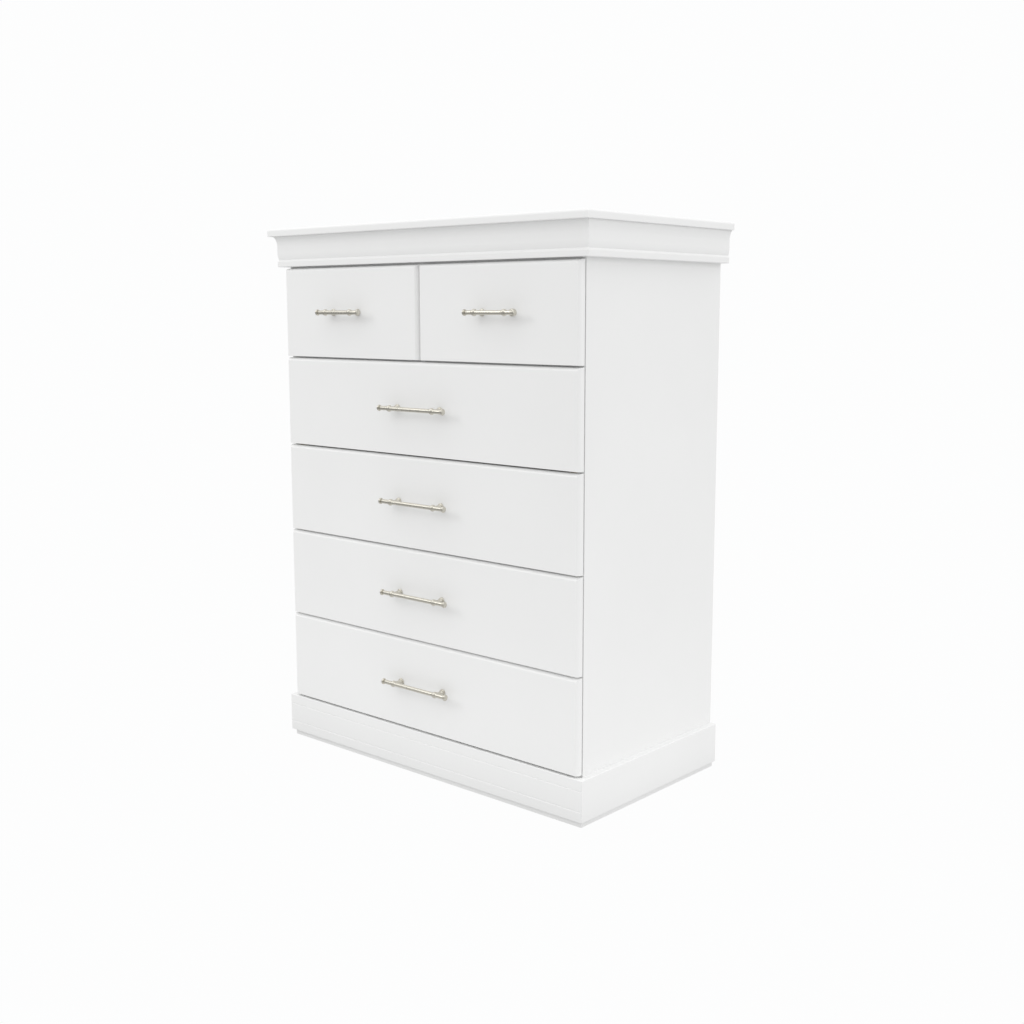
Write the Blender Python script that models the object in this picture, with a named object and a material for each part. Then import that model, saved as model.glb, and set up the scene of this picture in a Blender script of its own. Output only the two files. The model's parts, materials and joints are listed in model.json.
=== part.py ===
"""Tall chest of drawers: two small drawers over four wide ones.

Metres, +Z up. The drawer fronts face -Y and +X is on the right of someone facing them. The origin is on
the floor, in the middle of the chest's overall width and depth, handles included.
"""

import math

import bmesh
import bpy
from mathutils import Matrix

# Overall carcass
CARCASS_WIDTH = 0.870
CARCASS_DEPTH = 0.460
PANEL_THICKNESS = 0.018
SHELF_THICKNESS = 0.016
BACK_THICKNESS = 0.005
BACK_INSET = 0.005

# Drawer fronts, which lie over the carcass's front edges
FRONT_HEIGHT = 0.1985
FRONT_THICKNESS = 0.015
FRONT_GAP = 0.0035
FRONT_STANDOFF = 0.003
FRONT_EDGE_RADIUS = 0.013
FRONT_EDGE_START = math.radians(30)
FRONT_EDGE_STEPS = 3
WIDE_ROWS = 4

# Drawer boxes
BOX_REAR_CLEARANCE = 0.030
BOX_WALL = 0.012
BOX_SIDE_CLEARANCE = 0.0015
BOX_ABOVE_FRONT_BOTTOM = 0.0125
BOX_BELOW_FRONT_TOP = 0.011
BOX_BOTTOM_THICKNESS = 0.006
BOX_BOTTOM_RISE = 0.010

# Runners under the wide drawers
RUNNER_WIDTH = 0.020
RUNNER_HEIGHT = 0.020
RUNNING_CLEARANCE = 0.0005
KICKER_CLEARANCE = 0.004
RAIL_DEPTH = 0.060

# Plinth: boards round the front and sides, with a shadow recess at the floor. The overhang is measured
# from the side panels and, in front, from a plane that far behind the drawer faces (the setback)
PLINTH_HEIGHT = 0.1005
PLINTH_GAP = 0.0045
PLINTH_OVERHANG = 0.0145
PLINTH_SETBACK = 0.012
RECESS_HEIGHT = 0.013
RECESS_DEPTH = 0.0075
GROOVE_DROPS = (0.023, 0.066)
GROOVE_WIDTH = 0.0026
GROOVE_DEPTH = 0.0012

# Cornice: bead, hollow, flat frieze, cove and fillet, from the bottom up
CORNICE_GAP = 0.004
BEAD_HEIGHT = 0.0115
BEAD_OVERHANG = 0.0205
HOLLOW_DEPTH = 0.0025
HOLLOW_SLOPE = 0.0045
HOLLOW_HEIGHT = 0.014
HOLLOW_STEPS = 3
FRIEZE_HEIGHT = 0.016
COVE_HEIGHT = 0.0195
COVE_DEPTH = 0.0042
COVE_STEPS = 4
FILLET_HEIGHT = 0.0025
FILLET_DEPTH = 0.0012

# Top plate
TOP_THICKNESS = 0.0165
TOP_SIDE_OVERHANG = 0.033
TOP_FRONT_OVERHANG = 0.0215

# Handles: a turned bar on two posts. The bar's ends are measured from the posts' centres, and the small
# drawers' handles are shifted outwards from the middle of their fronts
WIDE_HANDLE_CENTRES = 0.128
WIDE_HANDLE_END = 0.034
SMALL_HANDLE_CENTRES = 0.080
SMALL_HANDLE_END = 0.029
SMALL_HANDLE_SHIFT = 0.007
HANDLE_STANDOFF = 0.0245
BAR_RADIUS = 0.0047
COLLAR_RADIUS = 0.0072
COLLAR_WIDTH = 0.008
KNOB_RADIUS = 0.0068
KNOB_WIDTH = 0.005
KNOB_EDGE = 0.0017
NECK_RADIUS = 0.0040
NECK_LENGTH = 0.005
POST_RADIUS = 0.0040
BASE_RADIUS = 0.0076
BASE_THICKNESS = 0.0021
BASE_FLARE = 0.0063
TURNED_SEGMENTS = 12

# Small gap between pieces that touch
FIT = 0.0003

# Worked out from the sizes above
HALF_WIDTH = CARCASS_WIDTH / 2
CARCASS_FRONT = FRONT_THICKNESS + FRONT_STANDOFF
CARCASS_BACK = CARCASS_FRONT + CARCASS_DEPTH
INNER_HALF = HALF_WIDTH - PANEL_THICKNESS
BACK_FACE = CARCASS_BACK - BACK_INSET - BACK_THICKNESS
ROW_PITCH = FRONT_HEIGHT + FRONT_GAP
FIRST_FRONT = PLINTH_HEIGHT + PLINTH_GAP
SMALL_ROW = FIRST_FRONT + WIDE_ROWS * ROW_PITCH
CORNICE_BOTTOM = SMALL_ROW + FRONT_HEIGHT + CORNICE_GAP
CORNICE_HEIGHT = (
    BEAD_HEIGHT + HOLLOW_SLOPE + HOLLOW_HEIGHT + FRIEZE_HEIGHT + COVE_HEIGHT + FILLET_HEIGHT
)
TOP_BOTTOM = CORNICE_BOTTOM + CORNICE_HEIGHT
TOP_SURFACE = TOP_BOTTOM + TOP_THICKNESS
BOX_HEIGHT = FRONT_HEIGHT - BOX_ABOVE_FRONT_BOTTOM - BOX_BELOW_FRONT_TOP
BOX_REAR = BACK_FACE - BOX_REAR_CLEARANCE
HANDLE_REACH = HANDLE_STANDOFF + max(COLLAR_RADIUS, KNOB_RADIUS)
FOREMOST = max(HANDLE_REACH, TOP_FRONT_OVERHANG)
FRONT_Y = -(CARCASS_BACK - FOREMOST) / 2


def make_material(name, colour, roughness, metallic):
    material = bpy.data.materials.new(name)
    material.use_nodes = True
    shader = material.node_tree.nodes["Principled BSDF"]
    shader.inputs["Base Color"].default_value = (*colour, 1.0)
    shader.inputs["Roughness"].default_value = roughness
    shader.inputs["Metallic"].default_value = metallic
    return material


def link_mesh(name, vertices, faces, material, parent):
    """Adds one object whose mesh has the given corners and faces, with its faces pointing outwards."""
    mesh = bpy.data.meshes.new(name)
    mesh.from_pydata(vertices, [], faces)
    shape = bmesh.new()
    shape.from_mesh(mesh)
    bmesh.ops.recalc_face_normals(shape, faces=shape.faces)
    shape.to_mesh(mesh)
    shape.free()
    mesh.materials.append(material)
    piece = bpy.data.objects.new(name, mesh)
    bpy.context.scene.collection.objects.link(piece)
    piece.parent = parent
    return piece


def add_board(name, low, high, material, parent):
    """Adds a rectangular board between two corners, with its origin in its middle."""
    middle = [(a + b) / 2 for a, b in zip(low, high)]
    half = [(b - a) / 2 for a, b in zip(low, high)]
    shape = bmesh.new()
    bmesh.ops.create_cube(shape, size=2.0, matrix=Matrix.Diagonal((*half, 1.0)))
    mesh = bpy.data.meshes.new(name)
    shape.to_mesh(mesh)
    shape.free()
    mesh.materials.append(material)
    piece = bpy.data.objects.new(name, mesh)
    bpy.context.scene.collection.objects.link(piece)
    piece.location = middle
    piece.parent = parent
    return piece


def add_empty(name, location, parent=None):
    empty = bpy.data.objects.new(name, None)
    bpy.context.scene.collection.objects.link(empty)
    empty.location = location
    empty.parent = parent
    return empty


def loft(name, first, second, material, parent):
    """Joins two outlines with the same number of corners into one closed solid."""
    count = len(first)
    faces = [tuple(range(count)), tuple(range(2 * count - 1, count - 1, -1))]
    for index in range(count):
        following = (index + 1) % count
        faces.append((index, following, count + following, count + index))
    return link_mesh(name, [*first, *second], faces, material, parent)


def add_front_moulding(name, outline, setback, material, parent):
    """Runs an outline of (overhang, height) along the chest's front, mitred at both ends."""
    ends = []
    for side in (-1, 1):
        ends.append([
            (side * (HALF_WIDTH + overhang - FIT), setback - overhang, height)
            for overhang, height in outline
        ])
    return loft(name, ends[0], ends[1], material, parent)


def add_side_moulding(name, outline, setback, side, material, parent):
    """Runs an outline of (overhang, height) along one side, mitred in front and square behind."""
    front = [(side * (HALF_WIDTH + overhang), setback - overhang + FIT, height)
             for overhang, height in outline]
    rear = [(side * (HALF_WIDTH + overhang), CARCASS_BACK, height) for overhang, height in outline]
    return loft(name, front, rear, material, parent)


def cornice_outline(inner):
    """Outline of the cornice, from its hidden lower edge outwards and up.

    The hollow and the cove are parabolas that meet the flat frieze without a corner.
    """
    face = BEAD_OVERHANG
    outline = [(inner, 0.0), (face, 0.0), (face, BEAD_HEIGHT)]
    slope_top = BEAD_HEIGHT + HOLLOW_SLOPE
    frieze = slope_top + HOLLOW_HEIGHT
    for step in range(HOLLOW_STEPS + 1):
        share = step / HOLLOW_STEPS
        outline.append((face - HOLLOW_DEPTH * (1 - share) ** 2, slope_top + HOLLOW_HEIGHT * share))
    cove = frieze + FRIEZE_HEIGHT
    for step in range(COVE_STEPS + 1):
        share = step / COVE_STEPS
        outline.append((face + COVE_DEPTH * share ** 2, cove + COVE_HEIGHT * share))
    lip = face + COVE_DEPTH + FILLET_DEPTH
    outline.append((lip, cove + COVE_HEIGHT))
    outline.append((lip, CORNICE_HEIGHT - FIT))
    outline.append((inner, CORNICE_HEIGHT - FIT))
    return [(overhang, CORNICE_BOTTOM + height) for overhang, height in outline]


def plinth_outline(inner, grooved):
    """Outline of a plinth board, with the recess at the floor and, in front, two vee grooves."""
    face = PLINTH_OVERHANG
    recess = face - RECESS_DEPTH
    outline = [(inner, 0.0), (recess, 0.0), (recess, RECESS_HEIGHT), (face, RECESS_HEIGHT)]
    if grooved:
        for drop in sorted(GROOVE_DROPS, reverse=True):
            middle = PLINTH_HEIGHT - drop
            outline.append((face, middle - GROOVE_WIDTH / 2))
            outline.append((face - GROOVE_DEPTH, middle))
            outline.append((face, middle + GROOVE_WIDTH / 2))
    outline.append((face, PLINTH_HEIGHT))
    outline.append((inner, PLINTH_HEIGHT))
    return outline


def row_bottom(row):
    """Height of the lower edge of a wide drawer's front; row 1 is the highest wide drawer."""
    return FIRST_FRONT + (WIDE_ROWS - row) * ROW_PITCH


def build_mouldings(white, carcass):
    """The cornice and plinth, whose hidden faces lie against the carcass."""
    cornice = cornice_outline(FIT)
    add_front_moulding("cornice_front", cornice, CARCASS_FRONT, white, carcass)
    grooved = plinth_outline(PLINTH_SETBACK - CARCASS_FRONT + FIT, True)
    add_front_moulding("plinth_front", grooved, PLINTH_SETBACK, white, carcass)
    plain = plinth_outline(FIT, False)
    for word, side in (("left", -1), ("right", 1)):
        add_side_moulding(f"cornice_{word}", cornice, CARCASS_FRONT, side, white, carcass)
        add_side_moulding(f"plinth_{word}", plain, PLINTH_SETBACK, side, white, carcass)


def build_carcass(white, inside, carcass):
    """The fixed panels, rails, shelf, divider and runners."""
    panel_top = TOP_BOTTOM - FIT
    for word, side in (("left", -1), ("right", 1)):
        edges = sorted((side * INNER_HALF, side * HALF_WIDTH))
        add_board(
            f"side_panel_{word}",
            (edges[0], CARCASS_FRONT, 0.0),
            (edges[1], CARCASS_BACK, panel_top),
            white, carcass,
        )
    reach = HALF_WIDTH + TOP_SIDE_OVERHANG
    add_board(
        "top_panel",
        (-reach, -TOP_FRONT_OVERHANG, TOP_BOTTOM),
        (reach, CARCASS_BACK, TOP_SURFACE),
        white, carcass,
    )
    span = INNER_HALF - FIT
    rear = BACK_FACE - FIT
    floor_top = FIRST_FRONT + BOX_ABOVE_FRONT_BOTTOM - RUNNING_CLEARANCE
    shelf_top = SMALL_ROW + BOX_ABOVE_FRONT_BOTTOM - RUNNING_CLEARANCE
    rail_bottom = SMALL_ROW + FRONT_HEIGHT - BOX_BELOW_FRONT_TOP + KICKER_CLEARANCE
    add_board(
        "bottom_panel",
        (-span, CARCASS_FRONT, floor_top - SHELF_THICKNESS), (span, rear, floor_top),
        white, carcass,
    )
    add_board(
        "plinth_rear",
        (-span, rear - PANEL_THICKNESS, 0.0), (span, rear, floor_top - SHELF_THICKNESS - FIT),
        inside, carcass,
    )
    add_board(
        "small_drawer_shelf",
        (-span, CARCASS_FRONT, shelf_top - SHELF_THICKNESS), (span, rear, shelf_top),
        white, carcass,
    )
    add_board(
        "back_panel",
        (-span, BACK_FACE, 0.0), (span, BACK_FACE + BACK_THICKNESS, panel_top),
        inside, carcass,
    )
    add_board(
        "top_rail_front",
        (-span, CARCASS_FRONT, rail_bottom), (span, CARCASS_FRONT + RAIL_DEPTH, panel_top),
        white, carcass,
    )
    add_board(
        "top_rail_rear",
        (-span, rear - RAIL_DEPTH, rail_bottom), (span, rear, panel_top),
        inside, carcass,
    )
    add_board(
        "centre_divider",
        (-PANEL_THICKNESS / 2, CARCASS_FRONT, shelf_top + FIT),
        (PANEL_THICKNESS / 2, rear, rail_bottom - FIT),
        white, carcass,
    )
    for row in range(1, WIDE_ROWS):
        runner_top = row_bottom(row) + BOX_ABOVE_FRONT_BOTTOM - RUNNING_CLEARANCE
        for word, side in (("left", -1), ("right", 1)):
            edges = sorted((side * (span - RUNNER_WIDTH), side * span))
            add_board(
                f"runner_{row}_{word}",
                (edges[0], CARCASS_FRONT + FIT, runner_top - RUNNER_HEIGHT),
                (edges[1], rear, runner_top),
                inside, carcass,
            )


def front_levels():
    """The front's edge as (inset from the outline, depth behind the face), from the face back.

    It is an arc that leaves the face at an angle and runs into the straight rear part of the edge.
    """
    levels = []
    for step in range(FRONT_EDGE_STEPS + 1):
        share = step / FRONT_EDGE_STEPS
        angle = FRONT_EDGE_START + (math.pi / 2 - FRONT_EDGE_START) * share
        inset = FRONT_EDGE_RADIUS * (1 - math.sin(angle))
        depth = FRONT_EDGE_RADIUS * (math.cos(FRONT_EDGE_START) - math.cos(angle))
        levels.append((inset, depth))
    levels.append((0.0, FRONT_THICKNESS))
    return levels


def build_front(name, width, material, parent):
    """A drawer front with its face edge rounded along the top and both sides, square below."""
    half = width / 2
    vertices = []
    for inset, depth in front_levels():
        vertices.append((inset - half, depth, 0.0))
        vertices.append((half - inset, depth, 0.0))
        vertices.append((half - inset, depth, FRONT_HEIGHT - inset))
        vertices.append((inset - half, depth, FRONT_HEIGHT - inset))
    last = len(vertices) - 4
    underside = (*range(0, last + 1, 4), *range(last + 1, 0, -4))
    faces = [(0, 1, 2, 3), (last + 3, last + 2, last + 1, last), underside]
    for start in range(0, last, 4):
        for corner, following in ((1, 2), (2, 3), (3, 0)):
            nearer = (start + corner, start + following)
            faces.append((nearer[0], nearer[0] + 4, nearer[1] + 4, nearer[1]))
    return link_mesh(name, vertices, faces, material, parent)


def turned(outline, segments):
    """Turns an outline of (distance along Z, radius), from one end on the axis to the other."""
    shape = bmesh.new()
    rings = []
    for along, radius in outline:
        ring = []
        for step in range(segments):
            angle = 2 * math.pi * step / segments
            ring.append(shape.verts.new((radius * math.cos(angle), radius * math.sin(angle), along)))
        rings.append(ring)
    for lower, upper in zip(rings, rings[1:]):
        for step in range(segments):
            following = (step + 1) % segments
            shape.faces.new((lower[step], lower[following], upper[following], upper[step]))
    shape.faces.new(reversed(rings[0]))
    shape.faces.new(rings[-1])
    return shape


def bar_outline(centres, overrun):
    """Half outline of the handle's bar, mirrored about its middle: collar, neck and end knob."""
    post = centres / 2
    end = post + overrun
    collar = COLLAR_WIDTH / 2
    half = [
        (post - collar, BAR_RADIUS),
        (post - collar / 2, COLLAR_RADIUS),
        (post + collar / 2, COLLAR_RADIUS),
        (post + collar, BAR_RADIUS),
        (end - KNOB_WIDTH - NECK_LENGTH, BAR_RADIUS),
        (end - KNOB_WIDTH - KNOB_EDGE, NECK_RADIUS),
        (end - KNOB_WIDTH, KNOB_RADIUS),
        (end - KNOB_EDGE, KNOB_RADIUS),
        (end, NECK_RADIUS),
    ]
    return [(-along, radius) for along, radius in reversed(half)] + half


def post_outline():
    """Outline of a post, from inside the bar's collar down to its flared base on the front."""
    return [
        (0.0, POST_RADIUS),
        (HANDLE_STANDOFF - BASE_THICKNESS - BASE_FLARE, POST_RADIUS),
        (HANDLE_STANDOFF - BASE_THICKNESS - BASE_FLARE / 3, (POST_RADIUS + BASE_RADIUS) / 2),
        (HANDLE_STANDOFF - BASE_THICKNESS, BASE_RADIUS),
        (HANDLE_STANDOFF - FIT, BASE_RADIUS),
    ]


def shape_object(name, shape, matrix, material, parent):
    shape.transform(matrix)
    bmesh.ops.recalc_face_normals(shape, faces=shape.faces)
    mesh = bpy.data.meshes.new(name)
    shape.to_mesh(mesh)
    shape.free()
    mesh.materials.append(material)
    mesh.shade_smooth()
    mesh.set_sharp_from_angle(angle=math.radians(50))
    piece = bpy.data.objects.new(name, mesh)
    bpy.context.scene.collection.objects.link(piece)
    piece.parent = parent
    return piece


def build_handle(name, centres, overrun, shift, metal, parent):
    """A bar along X joined to two posts that reach back to the drawer front, at half its height."""
    along_x = Matrix.Rotation(math.pi / 2, 4, "Y")
    towards_front = Matrix.Rotation(-math.pi / 2, 4, "X")
    shape = turned(bar_outline(centres, overrun), TURNED_SEGMENTS)
    bar = shape_object(name, shape, along_x, metal, parent)
    height = FRONT_HEIGHT / 2
    bar.location = (shift, -HANDLE_STANDOFF, height)
    for word, side in (("left", -1), ("right", 1)):
        shape = turned(post_outline(), TURNED_SEGMENTS)
        post = shape_object(f"{name}_post_{word}", shape, towards_front, metal, parent)
        post.location = (shift + side * centres / 2, -HANDLE_STANDOFF, height)
        post.hide_render = True
        post.display_type = "WIRE"
        join = bar.modifiers.new(f"join_{word}", "BOOLEAN")
        join.operation = "UNION"
        join.solver = "EXACT"
        join.object = post
    return bar


def build_drawer(name, centre, width, box_low, box_high, bottom, handle, materials, chest):
    """One drawer: front, box and handle, on an empty at the lower middle of its front face.

    box_low and box_high are the box's outer sides, in the chest's own X. handle holds the distance
    between the posts, the bar's overrun at each end and the shift along X.
    """
    white, inside, metal = materials
    drawer = add_empty(f"{name}_slide", (centre, 0.0, bottom), chest)
    build_front(f"{name}_front", width, white, drawer)
    left = box_low - centre
    right = box_high - centre
    low = BOX_ABOVE_FRONT_BOTTOM
    high = low + BOX_HEIGHT
    start = FRONT_THICKNESS + FIT
    stop = BOX_REAR
    inner_left = left + BOX_WALL + FIT
    inner_right = right - BOX_WALL - FIT
    add_board(
        f"{name}_side_left", (left, start, low), (left + BOX_WALL, stop, high), inside, drawer,
    )
    add_board(
        f"{name}_side_right", (right - BOX_WALL, start, low), (right, stop, high), inside, drawer,
    )
    add_board(
        f"{name}_back",
        (inner_left, stop - BOX_WALL, low), (inner_right, stop, high),
        inside, drawer,
    )
    floor = low + BOX_BOTTOM_RISE
    add_board(
        f"{name}_bottom",
        (inner_left, start, floor),
        (inner_right, stop - BOX_WALL - FIT, floor + BOX_BOTTOM_THICKNESS),
        inside, drawer,
    )
    centres, overrun, shift = handle
    build_handle(f"{name}_handle", centres, overrun, shift, metal, drawer)


def build_drawers(materials, chest):
    small_width = (CARCASS_WIDTH - FRONT_GAP) / 2
    outer = INNER_HALF - BOX_SIDE_CLEARANCE
    inner = PANEL_THICKNESS / 2 + BOX_SIDE_CLEARANCE
    for word, side in (("left", -1), ("right", 1)):
        centre = side * (small_width + FRONT_GAP) / 2
        low, high = sorted((side * inner, side * outer))
        handle = (SMALL_HANDLE_CENTRES, SMALL_HANDLE_END, side * SMALL_HANDLE_SHIFT)
        build_drawer(
            f"upper_{word}", centre, small_width, low, high, SMALL_ROW, handle, materials, chest,
        )
    handle = (WIDE_HANDLE_CENTRES, WIDE_HANDLE_END, 0.0)
    for row in range(1, WIDE_ROWS + 1):
        build_drawer(
            f"wide_{row}", 0.0, CARCASS_WIDTH, -outer, outer, row_bottom(row), handle, materials, chest,
        )


def main():
    for old in list(bpy.data.objects):
        bpy.data.objects.remove(old, do_unlink=True)
    white = make_material("white_lacquer", (0.86, 0.86, 0.85), 0.38, 0.0)
    inside = make_material("pale_birch", (0.80, 0.72, 0.58), 0.55, 0.0)
    metal = make_material("satin_nickel", (0.66, 0.64, 0.58), 0.32, 1.0)
    chest = add_empty("chest", (0.0, FRONT_Y, 0.0))
    build_carcass(white, inside, chest)
    build_mouldings(white, chest)
    build_drawers((white, inside, metal), chest)


main()
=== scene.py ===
"""Looks of the tall chest of drawers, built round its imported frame.

Metres, +Z up, with the drawer fronts facing -Y. The frame gives the places and outer sizes. The mouldings,
the top plate, the drawer fronts and the handles are surfaces worked out here. The plain boards are the
frame's own, with eased edges. Colours, sizes of details and lights are settings in the sidebar.
"""

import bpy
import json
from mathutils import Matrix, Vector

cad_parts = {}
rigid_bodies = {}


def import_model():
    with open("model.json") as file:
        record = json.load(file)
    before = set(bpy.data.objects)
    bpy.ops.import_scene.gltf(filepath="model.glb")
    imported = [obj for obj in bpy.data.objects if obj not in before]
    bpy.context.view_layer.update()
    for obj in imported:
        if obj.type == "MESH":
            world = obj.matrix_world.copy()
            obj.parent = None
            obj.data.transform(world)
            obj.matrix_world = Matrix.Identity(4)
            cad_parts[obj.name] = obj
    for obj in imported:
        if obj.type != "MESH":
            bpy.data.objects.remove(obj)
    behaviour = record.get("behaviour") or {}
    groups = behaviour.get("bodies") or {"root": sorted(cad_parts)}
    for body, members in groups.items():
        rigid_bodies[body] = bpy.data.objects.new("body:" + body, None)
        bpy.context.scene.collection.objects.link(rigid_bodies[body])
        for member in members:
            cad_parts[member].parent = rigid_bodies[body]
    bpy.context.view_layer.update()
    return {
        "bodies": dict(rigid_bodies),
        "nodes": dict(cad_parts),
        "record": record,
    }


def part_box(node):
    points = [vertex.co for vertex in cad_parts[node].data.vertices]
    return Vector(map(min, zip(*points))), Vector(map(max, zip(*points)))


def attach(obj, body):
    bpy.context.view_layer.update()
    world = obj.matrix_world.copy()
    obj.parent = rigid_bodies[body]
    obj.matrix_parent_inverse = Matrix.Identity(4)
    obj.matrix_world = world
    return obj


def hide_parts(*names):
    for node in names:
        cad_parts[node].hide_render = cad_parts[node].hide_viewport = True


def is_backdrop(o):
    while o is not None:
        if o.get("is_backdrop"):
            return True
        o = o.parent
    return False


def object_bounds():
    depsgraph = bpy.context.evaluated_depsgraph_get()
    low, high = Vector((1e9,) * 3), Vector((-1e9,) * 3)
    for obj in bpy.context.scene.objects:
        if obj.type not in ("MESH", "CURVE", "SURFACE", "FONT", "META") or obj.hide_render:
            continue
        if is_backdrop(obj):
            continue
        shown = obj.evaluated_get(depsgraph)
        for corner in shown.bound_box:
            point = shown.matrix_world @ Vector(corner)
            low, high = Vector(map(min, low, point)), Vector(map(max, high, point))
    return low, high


bl_info = {
    "name": "Tall Chest of Drawers",
    "version": (1, 0, 0),
    "blender": (4, 5, 0),
    "location": "View3D > Sidebar > Chest",
    "description": "Painted mouldings and fronts, turned handles and wooden drawers for a tall chest",
    "category": "Object",
}

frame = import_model()

import json
import math

import bpy
import numpy as np
from bpy.props import FloatProperty, FloatVectorProperty, IntProperty, PointerProperty
from mathutils import Vector

# Faces that meet at a larger angle than this keep a crisp edge between them
CRISP_ANGLE = math.radians(30)

# Points nearer to each other than this are one point
SAME_POINT = 1e-7

# Left between two pieces that are glued together and painted over
GLUE_LINE = 0.00003

# A corner that turns by less than this is rounded off as if it turned by this much, to keep its arc defined
LEAST_TURN = 1e-4

# Loose corners of a frame board nearer to each other than this are joined before its edges are eased
WELD_DISTANCE = 0.00001
EASE_SEGMENTS = 2

# Points along the curves of the mouldings and the turned pieces
HOLLOW_POINTS = 12
COVE_POINTS = 14
BALL_POINTS = 17
NECK_POINTS = 10
KNOB_POINTS = 15
RIM_POINTS = 6
FLARE_POINTS = 14
SCREW_POINTS = 8

# The knob swells as this power of a sine, and a post's flare narrows as this power of the way left
KNOB_FULLNESS = 0.6
FLARE_POWER = 2.2

# Where a post ends inside its ball, as a share of the ball's radius from the bar's centre line
POST_END = 0.8

# How far a screw head's curve runs towards its pole, as a share of a quarter turn
SCREW_DOME = 0.96

DRAWERS = [body for body in frame["bodies"] if body != "carcass"]
SIDES = (("left", -1), ("right", 1))

# The boards left unpainted, with the axis along which their grain runs
BARE_BOARDS = {"plinth_rear": "x", "top_rail_rear": "x", "back_panel": "z"}
DRAWER_BOARDS = {"side_left": "y", "side_right": "y", "back": "x", "bottom": "x"}
GRAIN_TURNS = {"x": (0.0, 0.0, 0.0), "y": (0.0, 0.0, -math.pi / 2), "z": (0.0, math.pi / 2, 0.0)}

# Noise patterns in the finishes: cells in a metre, and how many finer layers are added
LACQUER_DRIFT = (3.5, 3.0)
LACQUER_PATCHES = (40.0, 4.0)
WOOD_BEND = (9.0, 3.0)
WOOD_PATCHES = (16.0, 2.0)
METAL_HAZE = (260.0, 3.0)

# Noise drawn out by a stretch: cells in a metre along X, Y and Z
WOOD_PORES = (25.0, 1400.0, 1400.0)
METAL_LINES = (4000.0, 120.0, 120.0)
STRETCHED = (1.0, 2.0)

# How strongly the patterns act on colour, roughness and height
DRIFT_GAIN = 4.0
PATCH_ROUGHNESS = 0.16
RIPPLE_DETAIL = 2.0
BEND_LENGTH = 0.16
RING_TILT = 1.7
RING_SHARPNESS = 2.5
PORE_SHARPNESS = 2.0
PORE_TONE = 0.5
PORE_ROUGHNESS = 0.2
PORE_HEIGHT = -0.00006
HAZE_TONE = 0.16
HAZE_ROUGHNESS = 0.2
LINE_ROUGHNESS = 0.12

# Half the width of the floor
FLOOR_HALF = 30.0

# The lights: place, width and colour
KEY_LIGHT = ((-2.6, -3.4, 2.9), 1.6, (1.0, 0.997, 0.992))
FILL_LIGHT = ((4.0, 0.4, 2.0), 1.8, (0.997, 0.998, 1.0))

# The camera: its place, how far it looks down, how far it turns from looking along Y, and its lens
CAMERA_PLACE = (1.9589, -2.1274, 1.0130)
CAMERA_DOWN = math.radians(8.732)
CAMERA_TURN = math.radians(41.251)
CAMERA_LENS = 45.324
CAMERA_SENSOR = 36.0
CAMERA_SHIFT = (-0.00915, -0.0018)


# ---------------------------------------------------------------- settings


def length(name, description, default):
    """A size in metres."""
    return FloatProperty(
        name=name, description=description, default=default, min=0.0, precision=5, unit="LENGTH",
    )


def colour(name, description, default):
    """A colour as linear red, green and blue."""
    return FloatVectorProperty(
        name=name, description=description, default=default, min=0.0, max=1.0, size=3, subtype="COLOR",
    )


def share(name, description, default):
    """A number from 0 to 1."""
    return FloatProperty(
        name=name, description=description, default=default, min=0.0, max=1.0, subtype="FACTOR",
    )


def strength(name, description, default):
    """The strength of a light."""
    return FloatProperty(name=name, description=description, default=default, min=0.0)


class ChestPaintSettings(bpy.types.PropertyGroup):
    paint: colour("Paint", "Colour of the white lacquer", (0.865, 0.866, 0.862))
    roughness: share("Roughness", "How matt the lacquer is", 0.42)
    cloudiness: share("Cloudiness", "How much the lacquer's colour varies from place to place", 0.012)
    peel_size: length("Peel size", "Distance between the lacquer's fine ripples", 0.0022)
    peel_depth: length("Peel depth", "Height of the lacquer's fine ripples", 0.00002)


class ChestMouldingSettings(bpy.types.PropertyGroup):
    top_round: length("Top edge", "Radius of the top plate's upper edge", 0.0052)
    top_under_round: length("Top lower edge", "Radius of the top plate's lower edge", 0.0012)
    top_corner: length("Top corner", "Radius of the top plate's corners, seen from above", 0.0025)
    bead_height: length("Bead height", "Height of the cornice's bead", 0.0115)
    bead_round: length("Bead edge", "Radius of the bead's edges", 0.0012)
    hollow_depth: length("Hollow depth", "Depth of the hollow over the bead", 0.0025)
    hollow_slope: length("Hollow slope", "Height of the slope from the bead into the hollow", 0.0045)
    hollow_height: length("Hollow height", "Height of the hollow", 0.014)
    frieze_height: length("Frieze height", "Height of the cornice's flat middle", 0.016)
    cove_depth: length("Cove depth", "How far the cove comes forward under the top", 0.0042)
    cove_height: length("Cove height", "Height of the cove", 0.0195)
    fillet_depth: length("Fillet depth", "How far the fillet stands out from the cove", 0.0012)
    fillet_round: length("Fillet edge", "Radius of the fillet's edges", 0.0004)
    recess_height: length("Recess height", "Height of the shadow gap under the plinth", 0.013)
    recess_depth: length("Recess depth", "Depth of the shadow gap under the plinth", 0.0075)
    plinth_round: length("Plinth edge", "Radius of the plinth's upper edge", 0.0018)
    groove_width: length("Groove width", "Width of the plinth's grooves", 0.0026)
    groove_depth: length("Groove depth", "Depth of the plinth's grooves", 0.0012)
    upper_groove: length("Upper groove", "Drop from the plinth's top to its upper groove", 0.023)
    lower_groove: length("Lower groove", "Drop from the plinth's top to its lower groove", 0.066)


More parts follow.
